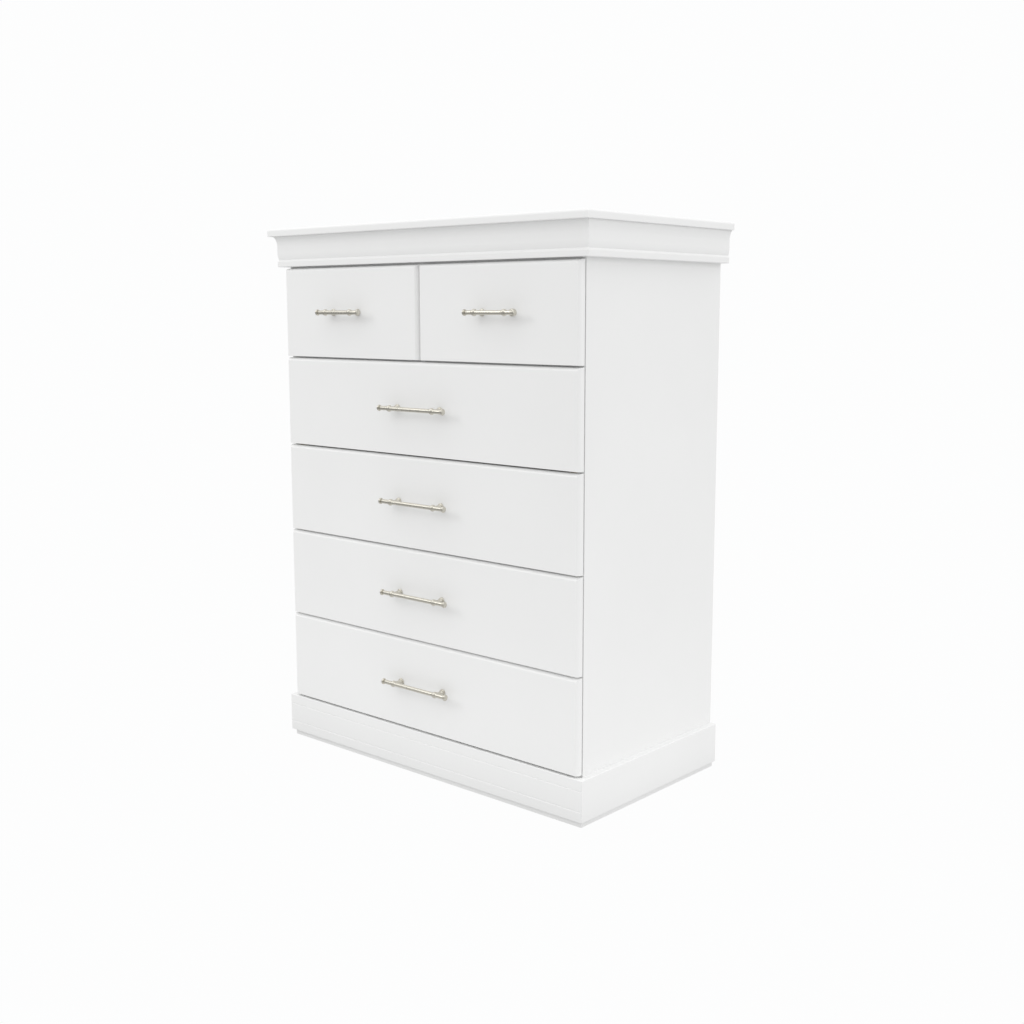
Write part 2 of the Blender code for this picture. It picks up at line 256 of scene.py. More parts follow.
class ChestFrontSettings(bpy.types.PropertyGroup):
    edge_radius: length("Edge radius", "Radius of the rounded edge round the top and sides", 0.013)
    edge_start: FloatProperty(
        name="Edge start", description="Angle at which the rounded edge leaves the face",
        default=math.radians(30), min=0.0, max=math.radians(80), subtype="ANGLE",
    )
    arris_radius: length("Arris radius", "Radius where the face meets its rounded edge", 0.0008)
    rear_radius: length("Rear radius", "Radius of the edges at the back and below", 0.0006)
    steps: IntProperty(
        name="Steps", description="Points round each arc of the edge", default=14, min=3, max=60,
    )


class ChestHandleSettings(bpy.types.PropertyGroup):
    nickel: colour("Nickel", "Colour of the satin nickel", (0.640, 0.615, 0.545))
    roughness: share("Roughness", "How satin the metal is", 0.24)
    overrun_wide: length("Wide overrun", "From a post's centre to the bar's end, wide drawers", 0.034)
    overrun_small: length("Small overrun", "From a post's centre to the bar's end, small drawers", 0.029)
    standoff: length("Standoff", "From the drawer's face to the bar's centre line", 0.0245)
    bar_radius: length("Bar radius", "Radius of the bar", 0.0047)
    ball_radius: length("Ball radius", "Radius of the ball at each post", 0.0072)
    ball_half: length("Ball half length", "Half the ball's length along the bar, to its points", 0.0062)
    knob_radius: length("Knob radius", "Radius of the knob at each end", 0.0068)
    knob_width: length("Knob width", "Thickness of the end knob", 0.0052)
    neck_radius: length("Neck radius", "Radius of the neck beside the knob", 0.0039)
    neck_length: length("Neck length", "Length of the neck beside the knob", 0.0052)
    post_radius: length("Post radius", "Radius of a post behind the bar", 0.0040)
    base_radius: length("Base radius", "Radius of a post's round foot", 0.0076)
    base_thickness: length("Foot thickness", "Thickness of a post's foot", 0.0032)
    flare: length("Flare", "Length over which a post widens to its foot", 0.0090)
    screw_radius: length("Screw radius", "Radius of a fixing screw's head", 0.0045)
    screw_height: length("Screw height", "Height of a fixing screw's head", 0.0022)
    around: IntProperty(
        name="Points round", description="Points round a turned piece", default=48, min=8, max=128,
    )


class ChestWoodSettings(bpy.types.PropertyGroup):
    light: colour("Light wood", "Colour of the pale wood between its rings", (0.78, 0.655, 0.47))
    dark: colour("Dark wood", "Colour of the rings", (0.62, 0.47, 0.30))
    ring_width: length("Ring width", "Distance between the figure's lines", 0.011)
    stretch: FloatProperty(
        name="Stretch", description="How much longer than wide the figure is", default=14.0, min=1.0,
    )
    roughness: share("Roughness", "How matt the wood is", 0.55)
    eased_edge: length("Eased edge", "Width of the small bevel on plain boards", 0.0007)


class ChestStageSettings(bpy.types.PropertyGroup):
    backdrop: colour("Backdrop", "Colour of the floor and backdrop", (0.982, 0.984, 0.985))
    sky: strength("Sky", "Light from all round above the floor", 0.71)
    sky_lift: strength("Sky lift", "Light added towards straight above", 0.65)
    floor_near: strength("Near floor", "Light from the floor round the chest", 1.07)
    floor_far: strength("Far floor", "Light from the floor far away", 0.67)
    floor_reach: length("Floor reach", "Distance over which the floor's light falls off", 1.6)
    contact: strength("Contact", "Light missing from the floor against the chest", 0.40)
    contact_reach: length("Contact reach", "Distance over which the contact fades", 0.12)
    mirror_low: strength("Mirrored horizon", "The horizon as polished metal shows it", 0.36)
    mirror_lift: strength("Mirrored lift", "Brightness added straight above in reflections", 1.25)
    mirror_floor: strength("Mirrored floor", "The near floor as polished metal shows it", 0.85)
    mirror_reach: length("Mirrored reach", "Distance over which the mirrored floor darkens", 1.1)
    key_power: strength("Key power", "Light from the front left, in watts", 28.0)
    fill_power: strength("Fill power", "Light from the right, in watts", 21.0)


SETTINGS = {
    "chest_paint": ChestPaintSettings,
    "chest_moulding": ChestMouldingSettings,
    "chest_front": ChestFrontSettings,
    "chest_handle": ChestHandleSettings,
    "chest_wood": ChestWoodSettings,
    "chest_stage": ChestStageSettings,
}


# ---------------------------------------------------------------- surfaces


def unit(vectors):
    """Each vector divided by its own length."""
    return vectors / np.maximum(np.linalg.norm(vectors, axis=-1, keepdims=True), SAME_POINT)


def filleted(corners, radii, steps=5):
    """A closed outline whose corners are rounded off, each with its own radius.

    A corner P has unit directions to its two neighbours and half its angle h between them. Its arc has its
    centre on the bisector, at radius / sin(h) from P, and touches the sides at radius / tan(h) from P. The
    points of the arc are that centre plus a radius turned evenly from one touching point to the other.
    """
    corners = np.asarray(corners, float)
    radii = np.asarray(radii, float)[:, None]
    back = unit(np.roll(corners, 1, 0) - corners)
    ahead = unit(np.roll(corners, -1, 0) - corners)
    half = 0.5 * np.arccos(np.clip((back * ahead).sum(1), -1.0, 1.0))[:, None]
    centre = corners + unit(back + ahead) * radii / np.sin(half)
    start = corners + back * radii / np.tan(half) - centre
    stop = corners + ahead * radii / np.tan(half) - centre
    turn = np.maximum(np.pi - 2 * half, LEAST_TURN)[:, None]
    part = np.linspace(0.0, 1.0, steps)[None, :, None]
    arcs = np.sin((1 - part) * turn) * start[:, None] + np.sin(part * turn) * stop[:, None]
    outline = (centre[:, None] + arcs / np.sin(turn)).reshape(-1, 2)
    apart = np.linalg.norm(outline - np.roll(outline, 1, 0), axis=1) > SAME_POINT
    return outline[apart]


def edge_curve(stretches, steps):
    """Inset and depth along an edge whose direction turns from the face round to the back.

    The direction at angle t is (-cos t, sin t) in (inset, depth). A stretch of radius r between two angles
    thus adds r * (sin from - sin to) to the inset and r * (cos from - cos to) to the depth. A stretch is
    (radius, from, to, straight run after it). The inset is then moved so that its smallest value is 0.
    """
    inset, depth = 0.0, 0.0
    levels = [np.zeros((1, 2))]
    for radius, start, stop, run in stretches:
        angle = np.linspace(start, stop, steps)[1:]
        curve = np.stack([
            inset + radius * (math.sin(start) - np.sin(angle)),
            depth + radius * (math.cos(start) - np.cos(angle)),
        ], axis=1)
        end = curve[-1] + run * np.array([-math.cos(stop), math.sin(stop)])
        levels.append(np.vstack([curve, end]) if run else curve)
        inset, depth = levels[-1][-1]
    curve = np.vstack(levels)
    curve[:, 0] -= curve[:, 0].min()
    return curve


def rounded_rectangle(half_x, half_y, corner, steps=6):
    """An outline in the plane: four quarter circles whose centres are a corner radius in from the sides."""
    angle = np.linspace(0.0, np.pi / 2, steps)[None, :] + np.arange(4)[:, None] * np.pi / 2
    signs = np.array([(1, 1), (-1, 1), (-1, -1), (1, -1)])
    centres = signs * np.array([half_x - corner, half_y - corner])
    arcs = np.stack([np.cos(angle), np.sin(angle)], axis=-1) * corner
    return (centres[:, None] + arcs).reshape(-1, 2)


def rings_mesh(rings, offset=0):
    """Corners and faces of the closed surface through a stack of rings, with a polygon on each end.

    Ring i and ring i + 1 are joined by four-sided faces, all made at once from the table of point numbers.
    """
    count, around = rings.shape[:2]
    index = np.arange(count * around).reshape(count, around) + offset
    lower, upper = index[:-1], index[1:]
    quads = np.stack([lower, np.roll(lower, -1, 1), np.roll(upper, -1, 1), upper], axis=-1)
    faces = [*quads.reshape(-1, 4).tolist(), index[0, ::-1].tolist(), index[-1].tolist()]
    return rings.reshape(-1, 3), faces


def turned_rings(along, radius, around):
    """Rings of a turned piece: at each distance along its axis a circle, (radius cos a, radius sin a)."""
    angle = np.linspace(0.0, 2 * np.pi, around, endpoint=False)
    circle = np.stack([np.cos(angle), np.sin(angle)], axis=-1)
    across = radius[:, None, None] * circle
    depth = np.broadcast_to(along[:, None, None], (len(along), around, 1))
    return np.concatenate([depth, across], axis=-1)


def add_piece(name, shells, material, body, replaced=()):
    """One object from one or more closed stacks of rings, riding on a body and standing for frame nodes."""
    points, faces, used = [], [], 0
    for rings in shells:
        corners, sides = rings_mesh(rings, used)
        points.append(corners)
        faces.extend(sides)
        used += len(corners)
    mesh = bpy.data.meshes.new(name)
    mesh.from_pydata(np.vstack(points), [], faces)
    mesh.materials.append(material)
    mesh.shade_smooth()
    mesh.set_sharp_from_angle(angle=CRISP_ANGLE)
    piece = bpy.data.objects.new(name, mesh)
    bpy.context.scene.collection.objects.link(piece)
    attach(piece, body)
    if replaced:
        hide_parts(*replaced)
    return piece


def even_shading(piece):
    """Lets the large flat faces set the shading where they meet small round ones."""
    even = piece.modifiers.new("even_shading", "WEIGHTED_NORMAL")
    even.keep_sharp = True


def ease_edges(node, width):
    """Joins a frame board's loose triangles and rounds its edges slightly."""
    join = node.modifiers.new("join", "WELD")
    join.merge_threshold = WELD_DISTANCE
    ease = node.modifiers.new("ease", "BEVEL")
    ease.width = width
    ease.segments = EASE_SEGMENTS
    ease.limit_method = "ANGLE"
    ease.harden_normals = True


def paint_node(node, material):
    """Gives a frame node one material."""
    if not node.material_slots:
        node.data.materials.append(material)
    node.material_slots[0].material = material


# ---------------------------------------------------------------- finishes


def new_group(name, inputs, outputs):
    """A shader node group with named sockets, or None if it has been built already."""
    if name in bpy.data.node_groups:
        return None
    group = bpy.data.node_groups.new(name, "ShaderNodeTree")
    for kind, title, default in inputs:
        socket = group.interface.new_socket(name=title, in_out="INPUT", socket_type=kind)
        if default is not None:
            socket.default_value = default
    for kind, title in outputs:
        group.interface.new_socket(name=title, in_out="OUTPUT", socket_type=kind)
    return group


def add_math(tree, operation, *values):
    """A Math node whose inputs are numbers or other nodes' outputs. Returns its output."""
    node = tree.nodes.new("ShaderNodeMath")
    node.operation = operation
    for socket, value in zip(node.inputs, values):
        if isinstance(value, (int, float)):
            socket.default_value = value
        else:
            tree.links.new(value, socket)
    return node.outputs[0]


def add_noise(tree, vector, scale, detail):
    """A Noise Texture read at a vector. Its scale is a number or another node's output."""
    node = tree.nodes.new("ShaderNodeTexNoise")
    node.inputs["Detail"].default_value = detail
    tree.links.new(vector, node.inputs["Vector"])
    if isinstance(scale, (int, float)):
        node.inputs["Scale"].default_value = scale
    else:
        tree.links.new(scale, node.inputs["Scale"])
    return node.outputs["Fac"]


def add_stretch(tree, vector, scale):
    """A Mapping node that scales a vector, which draws a pattern out along the axes scaled least."""
    node = tree.nodes.new("ShaderNodeMapping")
    node.inputs["Scale"].default_value = scale
    tree.links.new(vector, node.inputs["Vector"])
    return node.outputs["Vector"]


def add_blend(tree, factor, first, second):
    """A colour mix between two colours, which are other nodes' outputs or fixed colours."""
    node = tree.nodes.new("ShaderNodeMix")
    node.data_type = "RGBA"
    tree.links.new(factor, node.inputs["Factor"])
    for title, value in (("A", first), ("B", second)):
        socket = [s for s in node.inputs if s.name == title and s.type == "RGBA"][0]
        if isinstance(value, tuple):
            socket.default_value = value
        else:
            tree.links.new(value, socket)
    return [s for s in node.outputs if s.type == "RGBA"][0]


def lacquer_group():
    """Sprayed lacquer: a colour that drifts slightly, and fine ripples as a height in metres."""
    name = "Sprayed lacquer"
    group = new_group(name, (
        ("NodeSocketVector", "Vector", None),
        ("NodeSocketColor", "Paint", (0.86, 0.86, 0.86, 1.0)),
        ("NodeSocketFloat", "Cloudiness", 0.01),
        ("NodeSocketFloat", "Roughness", 0.4),
        ("NodeSocketFloat", "Peel size", 0.002),
        ("NodeSocketFloat", "Peel depth", 0.00002),
    ), (
        ("NodeSocketColor", "Colour"), ("NodeSocketFloat", "Roughness"), ("NodeSocketFloat", "Height"),
    ))
    if group is None:
        return bpy.data.node_groups[name]
    given = group.nodes.new("NodeGroupInput")
    made = group.nodes.new("NodeGroupOutput")
    vector = given.outputs["Vector"]
    drift = add_math(group, "SUBTRACT", add_noise(group, vector, *LACQUER_DRIFT), 0.5)
    lift = add_math(group, "MULTIPLY", drift, given.outputs["Cloudiness"])
    gain = add_math(group, "ADD", add_math(group, "MULTIPLY", lift, DRIFT_GAIN), 1.0)
    tint = group.nodes.new("ShaderNodeVectorMath")
    tint.operation = "SCALE"
    group.links.new(given.outputs["Paint"], tint.inputs[0])
    group.links.new(gain, tint.inputs["Scale"])
    group.links.new(tint.outputs["Vector"], made.inputs["Colour"])
    patch = add_math(group, "SUBTRACT", add_noise(group, vector, *LACQUER_PATCHES), 0.5)
    shift = add_math(group, "MULTIPLY", patch, PATCH_ROUGHNESS)
    group.links.new(add_math(group, "ADD", given.outputs["Roughness"], shift), made.inputs["Roughness"])
    ripples = add_math(group, "DIVIDE", 1.0, given.outputs["Peel size"])
    ripple = add_math(group, "SUBTRACT", add_noise(group, vector, ripples, RIPPLE_DETAIL), 0.5)
    group.links.new(add_math(group, "MULTIPLY", ripple, given.outputs["Peel depth"]), made.inputs["Height"])
    return group


def wood_group():
    """Planed wood, its grain along the vector's X: bent growth rings, fine pores and a faint height."""
    name = "Planed wood"
    group = new_group(name, (
        ("NodeSocketVector", "Vector", None),
        ("NodeSocketColor", "Light", (0.8, 0.7, 0.5, 1.0)),
        ("NodeSocketColor", "Dark", (0.6, 0.5, 0.3, 1.0)),
        ("NodeSocketFloat", "Ring width", 0.01),
        ("NodeSocketFloat", "Stretch", 14.0),
        ("NodeSocketFloat", "Roughness", 0.5),
    ), (
        ("NodeSocketColor", "Colour"), ("NodeSocketFloat", "Roughness"), ("NodeSocketFloat", "Height"),
    ))
    if group is None:
        return bpy.data.node_groups[name]
    given = group.nodes.new("NodeGroupInput")
    made = group.nodes.new("NodeGroupOutput")
    apart = group.nodes.new("ShaderNodeSeparateXYZ")
    group.links.new(given.outputs["Vector"], apart.inputs[0])
    join = group.nodes.new("ShaderNodeCombineXYZ")
    slow = add_math(group, "DIVIDE", apart.outputs["X"], given.outputs["Stretch"])
    group.links.new(slow, join.inputs["X"])
    group.links.new(apart.outputs["Y"], join.inputs["Y"])
    group.links.new(apart.outputs["Z"], join.inputs["Z"])
    drawn = join.outputs["Vector"]
    bend = add_noise(group, drawn, *WOOD_BEND)
    tilt = add_math(group, "MULTIPLY", apart.outputs["Z"], RING_TILT)
    across = add_math(group, "ADD", apart.outputs["Y"], tilt)
    bent = add_math(group, "ADD", across, add_math(group, "MULTIPLY", bend, BEND_LENGTH))
    turns = add_math(group, "DIVIDE", bent, given.outputs["Ring width"])
    wave = add_math(group, "SINE", add_math(group, "MULTIPLY", turns, 2 * math.pi))
    soft = add_math(group, "MULTIPLY", add_math(group, "ADD", wave, 1.0), 0.5)
    ring = add_math(group, "POWER", soft, RING_SHARPNESS)
    fibres = add_stretch(group, given.outputs["Vector"], WOOD_PORES)
    pore = add_math(group, "POWER", add_noise(group, fibres, *STRETCHED), PORE_SHARPNESS)
    patch = add_noise(group, drawn, *WOOD_PATCHES)
    figure = add_math(group, "MULTIPLY", ring, patch)
    depth = add_math(group, "ADD", figure, add_math(group, "MULTIPLY", pore, PORE_TONE))
    tone = add_blend(group, depth, given.outputs["Light"], given.outputs["Dark"])
    group.links.new(tone, made.inputs["Colour"])
    scatter = add_math(group, "MULTIPLY", pore, PORE_ROUGHNESS)
    rough = add_math(group, "ADD", given.outputs["Roughness"], scatter)
    group.links.new(rough, made.inputs["Roughness"])
    group.links.new(add_math(group, "MULTIPLY", pore, PORE_HEIGHT), made.inputs["Height"])
    return group


def metal_group():
    """Turned and lightly brushed metal: fine lines across the vector's X, and a hazy roughness."""
    name = "Turned metal"
    group = new_group(name, (
        ("NodeSocketVector", "Vector", None),
        ("NodeSocketColor", "Metal", (0.6, 0.6, 0.6, 1.0)),
        ("NodeSocketFloat", "Roughness", 0.3),
        ("NodeSocketFloat", "Line depth", 0.000002),
    ), (
        ("NodeSocketColor", "Colour"), ("NodeSocketFloat", "Roughness"), ("NodeSocketFloat", "Height"),
    ))
    if group is None:
        return bpy.data.node_groups[name]
    given = group.nodes.new("NodeGroupInput")
    made = group.nodes.new("NodeGroupOutput")
    vector = given.outputs["Vector"]
    lines = add_noise(group, add_stretch(group, vector, METAL_LINES), *STRETCHED)
    haze = add_math(group, "SUBTRACT", add_noise(group, vector, *METAL_HAZE), 0.5)
    gain = add_math(group, "ADD", add_math(group, "MULTIPLY", haze, HAZE_TONE), 1.0)
    tint = group.nodes.new("ShaderNodeVectorMath")
    tint.operation = "SCALE"
    group.links.new(given.outputs["Metal"], tint.inputs[0])
    group.links.new(gain, tint.inputs["Scale"])
    group.links.new(tint.outputs["Vector"], made.inputs["Colour"])
    brushed = add_math(group, "MULTIPLY", lines, LINE_ROUGHNESS)
    scatter = add_math(group, "ADD", brushed, add_math(group, "MULTIPLY", haze, HAZE_ROUGHNESS))
    group.links.new(add_math(group, "ADD", given.outputs["Roughness"], scatter), made.inputs["Roughness"])
    group.links.new(add_math(group, "MULTIPLY", lines, given.outputs["Line depth"]), made.inputs["Height"])
    return group


def finish_material(name, group, values, metallic, turn=(0.0, 0.0, 0.0)):
    """A Principled material whose colour, roughness and bump come from one of the groups above.

    turn rotates the pattern, for a board whose grain or a bar whose axis doesn't run along X.
    """
    if name in bpy.data.materials:
        return bpy.data.materials[name]
    material = bpy.data.materials.new(name)
    material.use_nodes = True
    tree = material.node_tree
    shader = tree.nodes["Principled BSDF"]
    shader.inputs["Metallic"].default_value = metallic
    place = tree.nodes.new("ShaderNodeTexCoord")
    mapping = tree.nodes.new("ShaderNodeMapping")
    mapping.inputs["Rotation"].default_value = turn
    tree.links.new(place.outputs["Object"], mapping.inputs["Vector"])
    effect = tree.nodes.new("ShaderNodeGroup")
    effect.node_tree = group
    for title, value in values.items():
        effect.inputs[title].default_value = value
    tree.links.new(mapping.outputs["Vector"], effect.inputs["Vector"])
    tree.links.new(effect.outputs["Colour"], shader.inputs["Base Color"])
    tree.links.new(effect.outputs["Roughness"], shader.inputs["Roughness"])
    bump = tree.nodes.new("ShaderNodeBump")
    bump.inputs["Distance"].default_value = 1.0
    tree.links.new(effect.outputs["Height"], bump.inputs["Height"])
    tree.links.new(bump.outputs["Normal"], shader.inputs["Normal"])
    return material


def lacquer(settings):
    """White lacquer, used on everything painted."""
    return finish_material("white_lacquer_finish", lacquer_group(), {
        "Paint": (*settings.paint, 1.0), "Cloudiness": settings.cloudiness,
        "Roughness": settings.roughness, "Peel size": settings.peel_size, "Peel depth": settings.peel_depth,
    }, 0.0)


def wood(settings, direction):
    """Pale wood whose grain runs along the X, Y or Z axis."""
    return finish_material(f"birch_along_{direction}", wood_group(), {
        "Light": (*settings.light, 1.0), "Dark": (*settings.dark, 1.0),
        "Ring width": settings.ring_width, "Stretch": settings.stretch, "Roughness": settings.roughness,
    }, 0.0, GRAIN_TURNS[direction])


def nickel(settings):
    """Satin nickel, used on the handles and their screws."""
    return finish_material("satin_nickel_finish", metal_group(), {
        "Metal": (*settings.nickel, 1.0), "Roughness": settings.roughness,
    }, 1.0)


# ---------------------------------------------------------------- pieces


def moulding_rings(outline, corner_y, half_width, side, rear):
    """Two mitred or square ends of a moulding as rings of (x, y, z).

    An outline point (overhang, height) lies that overhang outside the carcass. In front the ring's point is
    at x = half + overhang and at x = -(half + overhang), with y = corner - overhang. At a side it runs from
    that y back to the rear plane, with x = side * (half + overhang). A glue line is left at each mitre. The
    rings are stacked so that the faces between them point outwards.
    """
    overhang, height = outline[:, 0], outline[:, 1]
    if side == 0:
        ends = [
            np.stack([word * (half_width + overhang - GLUE_LINE), corner_y - overhang, height], axis=-1)
            for word in (1, -1)
        ]
        return np.stack(ends)
    reach = side * (half_width + overhang)
    front = np.stack([reach, corner_y - overhang + GLUE_LINE, height], axis=-1)
    back = np.stack([reach, np.full_like(height, rear), height], axis=-1)
    return np.stack([back, front] if side > 0 else [front, back])


def parabola(start, stop, upright, steps):
    """Points on a parabola between two corners, for a part t of the height between them.

    The part of the way across is t^2 where the curve starts upright, and 1 - (1 - t)^2 where it ends upright.
    """
    part = np.linspace(0.0, 1.0, steps)
    across = part ** 2 if upright == "start" else 1 - (1 - part) ** 2
    return np.stack([
        start[0] + (stop[0] - start[0]) * across, start[1] + (stop[1] - start[1]) * part,
    ], axis=-1)


def cornice_outline(settings, face, inner, bottom, top):
    """The cornice's outline, from below outwards and up: bead, slope, hollow, frieze, cove and fillet."""
    bead_top = bottom + settings.bead_height
    hollow_bottom = bead_top + settings.hollow_slope
    frieze_bottom = hollow_bottom + settings.hollow_height
    cove_bottom = frieze_bottom + settings.frieze_height
    cove_top = cove_bottom + settings.cove_height
    lip = face + settings.cove_depth + settings.fillet_depth
    bead = ((inner, bottom), (face, bottom), (face, bead_top))
    sunk = face - settings.hollow_depth
    hollow = parabola((sunk, hollow_bottom), (face, frieze_bottom), "stop", HOLLOW_POINTS)
    cove = parabola((face, cove_bottom), (face + settings.cove_depth, cove_top), "start", COVE_POINTS)
    lips = ((lip, cove_top), (lip, top), (inner, top))
    corners = np.vstack([bead, hollow, cove, lips])
    radii = np.zeros(len(corners))
    radii[1:3] = settings.bead_round
    radii[-3:-1] = settings.fillet_round
    return filleted(corners, radii)


def plinth_outline(settings, face, inner, top, grooved):
    """A plinth board with its shadow recess at the floor and, in front, two vee grooves."""
    recess = face - settings.recess_depth
    foot = settings.recess_height
    corners = [(inner, 0.0), (recess, 0.0), (recess, foot), (face, foot)]
    radii = [0.0, 0.0, 0.0, settings.groove_depth / 2]
    if grooved:
        for drop in (settings.lower_groove, settings.upper_groove):
            middle = top - drop
            half = settings.groove_width / 2
            deep = face - settings.groove_depth
            corners += [(face, middle - half), (deep, middle), (face, middle + half)]
            radii += [settings.groove_depth / 4] * 3
    corners += [(face, top), (inner, top)]
    radii += [settings.plinth_round, 0.0]
    return filleted(corners, radii)


def board_rings(low, high, corner, under, over, steps=7):
    """A board with rounded corners seen from above and rounded lower and upper edges.

    At angle t of an edge's quarter circle of radius r, the outline is drawn in by r * (1 - sin t) and lies
    r * (1 - cos t) from the board's face. The corner's own radius shrinks by as much as the outline is drawn
    in, down to a glue line.
    """
    middle = (np.array(low) + np.array(high)) / 2
    half = (np.array(high) - np.array(low)) / 2
    angle = np.linspace(0.0, np.pi / 2, steps)
    inset = np.concatenate([under * (1 - np.sin(angle)), over * (1 - np.sin(angle[::-1]))])
    height = np.concatenate([
        low[2] + under * (1 - np.cos(angle)), high[2] - over * (1 - np.cos(angle[::-1])),
    ])
    outlines = [
        rounded_rectangle(half[0] - d, half[1] - d, max(corner - d, GLUE_LINE)) + middle[:2]
        for d in inset
    ]
    return np.stack([
        np.column_stack([outline, np.full(len(outline), z)]) for outline, z in zip(outlines, height)
    ])


class CHEST_OT_top_plate(bpy.types.Operator):
    """Make the top plate, with a soft upper edge"""

    bl_idname = "chest.top_plate"
    bl_label = "Top plate"

    def execute(self, context):
        scene = context.scene
        settings = scene.chest_moulding
        low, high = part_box("top_panel")
        rings = board_rings(low, high, settings.top_corner, settings.top_under_round, settings.top_round)
        plate = add_piece(
            "top_plate", [rings], lacquer(scene.chest_paint), "carcass", ["top_panel"],
        )
        even_shading(plate)
        return {"FINISHED"}


class CHEST_OT_cornice(bpy.types.Operator):
    """Make the cornice's three lengths, mitred at the front corners"""

    bl_idname = "chest.cornice"
    bl_label = "Cornice"

    def execute(self, context):
        scene = context.scene
        settings = scene.chest_moulding
        panel_low, panel_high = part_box("side_panel_right")
        front_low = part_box("cornice_front")[0]
        lip = settings.cove_depth + settings.fillet_depth
        face = panel_low.y - front_low.y - lip
        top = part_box("top_panel")[0].z - GLUE_LINE
        outline = cornice_outline(settings, face, GLUE_LINE, front_low.z, top)
        for word, side in (("front", 0), *SIDES):
            rings = moulding_rings(outline, panel_low.y, panel_high.x, side, panel_high.y)
            piece = add_piece(
                f"cornice_{word}_moulding", [rings], lacquer(scene.chest_paint), "carcass",
                [f"cornice_{word}"],
            )
            even_shading(piece)
        return {"FINISHED"}


class CHEST_OT_plinth(bpy.types.Operator):
    """Make the plinth's front and side boards, with the shadow gap at the floor"""

    bl_idname = "chest.plinth"
    bl_label = "Plinth"

    def execute(self, context):
        scene = context.scene
        settings = scene.chest_moulding
        panel_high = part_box("side_panel_right")[1]
        front_low, front_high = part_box("plinth_front")
        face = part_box("plinth_right")[1].x - panel_high.x
        corner_y = front_low.y + face
        plain = plinth_outline(settings, face, GLUE_LINE, front_high.z, False)
        grooved = plinth_outline(settings, face, corner_y - front_high.y, front_high.z, True)
        for word, side in (("front", 0), *SIDES):
            outline = plain if side else grooved
            rings = moulding_rings(outline, corner_y, panel_high.x, side, panel_high.y)
            piece = add_piece(
                f"plinth_{word}_board", [rings], lacquer(scene.chest_paint), "carcass",
                [f"plinth_{word}"],
            )
            even_shading(piece)
        return {"FINISHED"}


def front_rings(low, high, settings):
    """A drawer front as rings at growing depth: moulded along the top and sides, square below.

    Each ring is a rectangle. Its top and sides are drawn in by the edge curve's inset. Its lower side is
    drawn in along a quarter circle of radius r, by r - sqrt(r^2 - (r - d)^2) where the face or the back is
    nearer than r, at a distance d.
    """
    thickness = high.y - low.y
    arc = settings.edge_radius
    start = settings.edge_start
    used = arc * math.cos(start) + settings.arris_radius * (1 - math.cos(start))
    straight = max(thickness - used - settings.rear_radius, 0.0)
    curve = edge_curve((
        (settings.arris_radius, 0.0, start, 0.0),
        (arc, start, math.pi / 2, straight),
        (settings.rear_radius, math.pi / 2, math.pi, 0.0),
    ), settings.steps)
    inset, depth = curve[:, 0], curve[:, 1] * thickness / curve[-1, 1]
    near = np.clip(settings.rear_radius - np.minimum(depth, thickness - depth), 0.0, settings.rear_radius)
    raised = settings.rear_radius - np.sqrt(settings.rear_radius ** 2 - near ** 2)
    y = low.y + depth
    left, right = low.x + inset, high.x - inset
    bottom, top = low.z + raised, high.z - inset
    corners = [(left, bottom), (left, top), (right, top), (right, bottom)]
    return np.stack([np.stack([x, y, z], axis=-1) for x, z in corners], axis=1)


class CHEST_OT_drawer_fronts(bpy.types.Operator):
    """Make the six drawer fronts, moulded along the top and both sides"""

    bl_idname = "chest.drawer_fronts"
    bl_label = "Drawer fronts"

    def execute(self, context):
        scene = context.scene
        for drawer in DRAWERS:
            low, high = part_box(f"{drawer}_front")
            piece = add_piece(
                f"{drawer}_moulded_front", [front_rings(low, high, scene.chest_front)],
                lacquer(scene.chest_paint), drawer, [f"{drawer}_front"],
            )
            even_shading(piece)
        return {"FINISHED"}


def bar_profile(settings, half_span, overrun):
    """Distance along the bar and its radius, from one end to the other.

    A ball is an ellipse, ball radius * sqrt(1 - (x / half length)^2), where that is more than the bar. The
    neck narrows as sin^2 over a quarter turn. The end knob swells as a power of sin t over its thickness,
    which is passed as (1 - cos t) / 2, and stops just short of its pole with a flat end.
    """
    end = half_span + overrun
    knob_start = end - settings.knob_width
    neck_start = knob_start - settings.neck_length
    reach = settings.ball_half * math.sqrt(1 - (settings.bar_radius / settings.ball_radius) ** 2)
    part = np.linspace(-1.0, 1.0, BALL_POINTS)
    ball = settings.ball_radius * np.sqrt(1 - (part * reach / settings.ball_half) ** 2)
    dip = np.linspace(0.0, 1.0, NECK_POINTS)
    neck = settings.bar_radius - (settings.bar_radius - settings.neck_radius) * np.sin(dip * np.pi / 2) ** 2
    turn = np.linspace(0.0, np.pi, KNOB_POINTS)[:-1]
    swell = np.sin(turn) ** KNOB_FULLNESS
    knob = settings.neck_radius + (settings.knob_radius - settings.neck_radius) * swell
    knob = np.where(turn > np.pi / 2, settings.knob_radius * swell, knob)
    along = np.concatenate([
        half_span + part * reach,
        neck_start + dip * settings.neck_length,
        knob_start + (1 - np.cos(turn[1:])) / 2 * settings.knob_width,
    ])
    radius = np.concatenate([ball, neck, knob[1:]])
    return np.concatenate([-along[::-1], along]), np.concatenate([radius[::-1], radius])


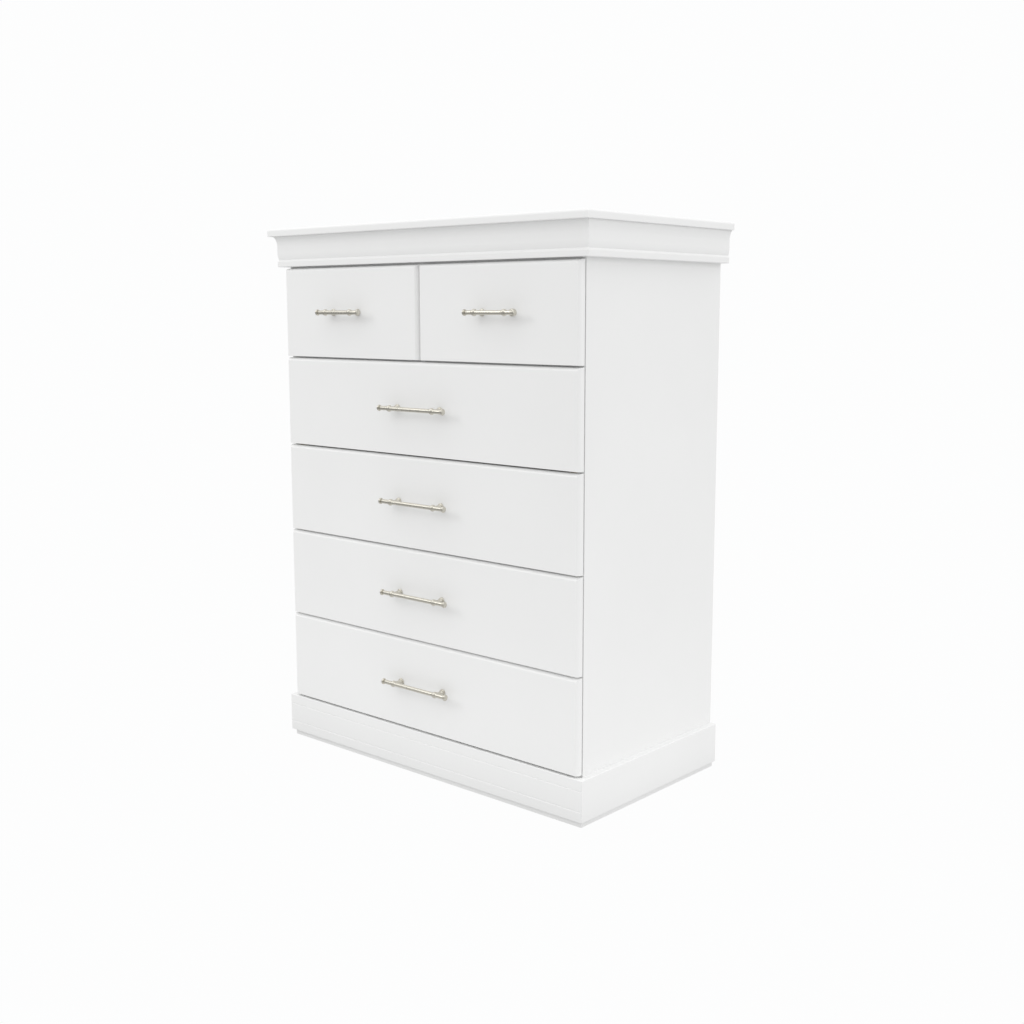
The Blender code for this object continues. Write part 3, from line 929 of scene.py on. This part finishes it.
def post_rings(settings, x, face_y, z):
    """A post from its foot on the front, through its flare, to a flat end hidden inside the ball.

    The foot is a disc, rounded over its outer half by a quarter circle of half its thickness. Over the flare
    the radius is the post's own plus the foot's excess times a power of the way left, and never more than
    the foot's rounded rim.
    """
    angle = np.linspace(0.0, 2 * np.pi, settings.around, endpoint=False)
    half_foot = settings.base_thickness / 2
    turn = np.linspace(0.0, np.pi / 2, RIM_POINTS)
    way = np.linspace(0.0, 1.0, FLARE_POINTS)[1:]
    widen = (settings.base_radius - settings.post_radius) * (1 - way) ** FLARE_POWER
    sunk = settings.standoff - settings.ball_radius * POST_END
    height = np.concatenate([
        [0.0], half_foot + half_foot * np.sin(turn), settings.base_thickness + way * settings.flare, [sunk],
    ])
    rim = settings.base_radius - half_foot * (1 - np.cos(turn))
    body = np.minimum(settings.post_radius + widen, rim[-1])
    radius = np.concatenate([[settings.base_radius], rim, body, [settings.post_radius]])
    across = radius[:, None]
    return np.stack([
        x + across * np.cos(angle), np.broadcast_to(face_y - height[:, None], (len(height), len(angle))),
        z + across * np.sin(angle),
    ], axis=-1)


def screw_rings(settings, x, y, z):
    """A low domed screw head on the inside of a front: a quarter ellipse turned about Y.

    The rings are stacked from the dome's top to its foot, so that the faces point outwards.
    """
    turn = np.linspace(0.0, np.pi / 2 * SCREW_DOME, SCREW_POINTS)
    radius = settings.screw_radius * np.cos(turn)
    height = settings.screw_height * np.sin(turn)
    rings = turned_rings(height, radius, settings.around)
    return np.stack([x + rings[..., 1], y + rings[..., 0], z + rings[..., 2]], axis=-1)[::-1]


class CHEST_OT_handles(bpy.types.Operator):
    """Make the six turned bar handles and the screws that hold them"""

    bl_idname = "chest.handles"
    bl_label = "Handles"

    def execute(self, context):
        scene = context.scene
        settings = scene.chest_handle
        metal = nickel(settings)
        for drawer in DRAWERS:
            low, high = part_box(f"{drawer}_handle")
            front_low, front_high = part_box(f"{drawer}_front")
            overrun = settings.overrun_small if drawer.startswith("upper") else settings.overrun_wide
            middle = (low + high) / 2
            half_span = (high.x - low.x) / 2 - overrun
            along, radius = bar_profile(settings, half_span, overrun)
            rings = turned_rings(along, radius, settings.around)
            shells = [rings + np.array([middle.x, front_low.y - settings.standoff, middle.z])]
            heads = []
            for _, side in SIDES:
                x = middle.x + side * half_span
                shells.append(post_rings(settings, x, high.y, middle.z))
                heads.append(screw_rings(settings, x, front_high.y, middle.z))
            add_piece(
                f"{drawer}_turned_handle", shells, metal, drawer, [f"{drawer}_handle"],
            )
            add_piece(f"{drawer}_handle_screws", heads, metal, drawer)
        return {"FINISHED"}


class CHEST_OT_carcass(bpy.types.Operator):
    """Give the carcass's plain boards their paint or wood and ease their edges"""

    bl_idname = "chest.carcass"
    bl_label = "Carcass"

    def execute(self, context):
        scene = context.scene
        nodes = frame["nodes"]
        for name in frame["record"]["behaviour"]["bodies"]["carcass"]:
            node = nodes[name]
            if node.hide_render:
                continue
            direction = "y" if name.startswith("runner") else BARE_BOARDS.get(name)
            bare = direction is not None
            paint_node(node, wood(scene.chest_wood, direction) if bare else lacquer(scene.chest_paint))
            ease_edges(node, scene.chest_wood.eased_edge)
        return {"FINISHED"}


class CHEST_OT_drawer_boxes(bpy.types.Operator):
    """Give the drawer boxes their wood, its grain along each board"""

    bl_idname = "chest.drawer_boxes"
    bl_label = "Drawer boxes"

    def execute(self, context):
        settings = context.scene.chest_wood
        for drawer in DRAWERS:
            for part, direction in DRAWER_BOARDS.items():
                node = frame["nodes"][f"{drawer}_{part}"]
                paint_node(node, wood(settings, direction))
                ease_edges(node, settings.eased_edge)
        return {"FINISHED"}


# ---------------------------------------------------------------- stage


def add_area_light(name, lamp_data, aim, power):
    """A soft square light of a given place, width and colour, which faces a point."""
    place, size, tint = lamp_data
    light = bpy.data.lights.new(name, "AREA")
    light.shape = "SQUARE"
    light.size = size
    light.energy = power
    light.color = tint
    lamp = bpy.data.objects.new(name, light)
    bpy.context.scene.collection.objects.link(lamp)
    lamp.location = place
    lamp.rotation_euler = (Vector(aim) - Vector(place)).to_track_quat("-Z", "Y").to_euler()
    return lamp


def add_choice(tree, question, otherwise, answer):
    """One of two numbers or outputs, by a ray's answer to one of the Light Path node's questions."""
    path = tree.nodes.new("ShaderNodeLightPath")
    choice = tree.nodes.new("ShaderNodeMix")
    choice.data_type = "FLOAT"
    tree.links.new(path.outputs[question], choice.inputs["Factor"])
    for socket, value in ((choice.inputs["A"], otherwise), (choice.inputs["B"], answer)):
        if isinstance(value, float):
            socket.default_value = value
        else:
            tree.links.new(value, socket)
    return choice.outputs["Result"]


def add_glow(tree, glow, mirrored):
    """Full strength for what the camera sees, mirrored strength in reflections, and glow elsewhere."""
    return add_choice(tree, "Is Camera Ray", add_choice(tree, "Is Glossy Ray", glow, mirrored), 1.0)


def make_world(settings):
    """A white surround that lights the chest more from above than from the horizon.

    Its strength at a height z on the unit sphere is low + lift * max(z, 0), and 1 as the camera sees it.
    """
    world = bpy.data.worlds.new("studio")
    world.use_nodes = True
    bpy.context.scene.world = world
    tree = world.node_tree
    background = tree.nodes["Background"]
    background.inputs["Color"].default_value = (*settings.backdrop, 1.0)
    direction = tree.nodes.new("ShaderNodeTexCoord")
    apart = tree.nodes.new("ShaderNodeSeparateXYZ")
    tree.links.new(direction.outputs["Generated"], apart.inputs[0])
    height = add_math(tree, "MAXIMUM", apart.outputs["Z"], 0.0)
    glow = add_math(tree, "ADD", add_math(tree, "MULTIPLY", height, settings.sky_lift), settings.sky)
    mirrored = add_math(
        tree, "ADD", add_math(tree, "MULTIPLY", height, settings.mirror_lift), settings.mirror_low,
    )
    tree.links.new(add_glow(tree, glow, mirrored), background.inputs["Strength"])


def add_pool(tree, near, far, reach):
    """A pool of light on the floor.

    At a distance r from the middle it is far + (near - far) * exp(-(r / reach)^2).
    """
    place = tree.nodes.new("ShaderNodeTexCoord")
    radius = tree.nodes.new("ShaderNodeVectorMath")
    radius.operation = "LENGTH"
    tree.links.new(place.outputs["Object"], radius.inputs[0])
    away = add_math(tree, "DIVIDE", radius.outputs["Value"], reach)
    square = add_math(tree, "POWER", away, 2.0)
    fall = add_math(tree, "EXPONENT", add_math(tree, "MULTIPLY", square, -1.0))
    return add_math(tree, "ADD", add_math(tree, "MULTIPLY", fall, near - far), far)


def floor_glow(tree, settings):
    """Light of the floor: a pool, less contact * exp(-d / contact reach) close to the chest.

    Here d is the length of the part of the place that lies outside the chest's box.
    """
    place = tree.nodes.new("ShaderNodeTexCoord")
    vector = place.outputs["Object"]
    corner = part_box("plinth_right")[1]
    steps = (
        ("ABSOLUTE", None), ("SUBTRACT", (corner.x, corner.y, 0.0)),
        ("MAXIMUM", (0.0, 0.0, 0.0)), ("LENGTH", None),
    )
    for operation, value in steps:
        step = tree.nodes.new("ShaderNodeVectorMath")
        step.operation = operation
        tree.links.new(vector, step.inputs[0])
        if value:
            step.inputs[1].default_value = value
        vector = step.outputs["Value" if operation == "LENGTH" else "Vector"]
    fade = add_math(tree, "EXPONENT", add_math(tree, "DIVIDE", vector, -settings.contact_reach))
    pool = add_pool(tree, settings.floor_near, settings.floor_far, settings.floor_reach)
    return add_math(tree, "SUBTRACT", pool, add_math(tree, "MULTIPLY", fade, settings.contact))


def make_floor(settings):
    """A wide pale floor that shines by itself, so that the chest throws no shadow on it."""
    corners = np.array([(-1.0, -1.0, 0.0), (1.0, -1.0, 0.0), (1.0, 1.0, 0.0), (-1.0, 1.0, 0.0)]) * FLOOR_HALF
    mesh = bpy.data.meshes.new("studio_floor")
    mesh.from_pydata(corners, [], [(0, 1, 2, 3)])
    material = bpy.data.materials.new("studio_floor_white")
    material.use_nodes = True
    tree = material.node_tree
    tree.nodes.remove(tree.nodes["Principled BSDF"])
    shine = tree.nodes.new("ShaderNodeEmission")
    shine.inputs["Color"].default_value = (*settings.backdrop, 1.0)
    mirrored = add_pool(tree, settings.mirror_floor, settings.mirror_low, settings.mirror_reach)
    glow = add_glow(tree, floor_glow(tree, settings), mirrored)
    tree.links.new(glow, shine.inputs["Strength"])
    tree.links.new(shine.outputs["Emission"], tree.nodes["Material Output"].inputs["Surface"])
    mesh.materials.append(material)
    floor = bpy.data.objects.new("studio_floor", mesh)
    bpy.context.scene.collection.objects.link(floor)
    floor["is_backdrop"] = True


def make_camera():
    """The camera stands to the right of the chest, just under its top, and looks slightly down."""
    camera = bpy.data.cameras.new("view")
    camera.sensor_width = CAMERA_SENSOR
    camera.lens = CAMERA_LENS
    camera.shift_x, camera.shift_y = CAMERA_SHIFT
    holder = bpy.data.objects.new("view", camera)
    bpy.context.scene.collection.objects.link(holder)
    holder.location = CAMERA_PLACE
    holder.rotation_euler = (math.pi / 2 - CAMERA_DOWN, 0.0, CAMERA_TURN)
    bpy.context.scene.camera = holder


class CHEST_OT_stage(bpy.types.Operator):
    """Make the pale floor, the soft lights and the camera"""

    bl_idname = "chest.stage"
    bl_label = "Stage"

    def execute(self, context):
        settings = context.scene.chest_stage
        make_world(settings)
        make_floor(settings)
        make_camera()
        low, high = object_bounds()
        middle = (low + high) / 2
        add_area_light("key", KEY_LIGHT, middle, settings.key_power)
        add_area_light("fill", FILL_LIGHT, middle, settings.fill_power)
        context.scene.view_settings.view_transform = "Standard"
        return {"FINISHED"}


OPERATORS = (
    CHEST_OT_top_plate, CHEST_OT_cornice, CHEST_OT_plinth, CHEST_OT_carcass, CHEST_OT_drawer_fronts,
    CHEST_OT_drawer_boxes, CHEST_OT_handles, CHEST_OT_stage,
)


class CHEST_PT_sidebar(bpy.types.Panel):
    """Settings and steps of the chest of drawers"""

    bl_label = "Tall chest of drawers"
    bl_idname = "CHEST_PT_sidebar"
    bl_space_type = "VIEW_3D"
    bl_region_type = "UI"
    bl_category = "Chest"

    def draw(self, context):
        for operator in OPERATORS:
            self.layout.operator(operator.bl_idname)
        for name, group in SETTINGS.items():
            box = self.layout.box()
            for title in group.__annotations__:
                box.prop(getattr(context.scene, name), title)


def register():
    for group in SETTINGS.values():
        bpy.utils.register_class(group)
    for operator in OPERATORS:
        bpy.utils.register_class(operator)
    bpy.utils.register_class(CHEST_PT_sidebar)
    for name, group in SETTINGS.items():
        setattr(bpy.types.Scene, name, PointerProperty(type=group))


def unregister():
    for name in SETTINGS:
        delattr(bpy.types.Scene, name)
    bpy.utils.unregister_class(CHEST_PT_sidebar)
    for operator in reversed(OPERATORS):
        bpy.utils.unregister_class(operator)
    for group in reversed(list(SETTINGS.values())):
        bpy.utils.unregister_class(group)


def main():
    register()
    bpy.ops.chest.top_plate()
    bpy.ops.chest.cornice()
    bpy.ops.chest.plinth()
    bpy.ops.chest.carcass()
    bpy.ops.chest.drawer_fronts()
    bpy.ops.chest.drawer_boxes()
    bpy.ops.chest.handles()
    bpy.ops.chest.stage()


if __name__ == "__main__":
    main()
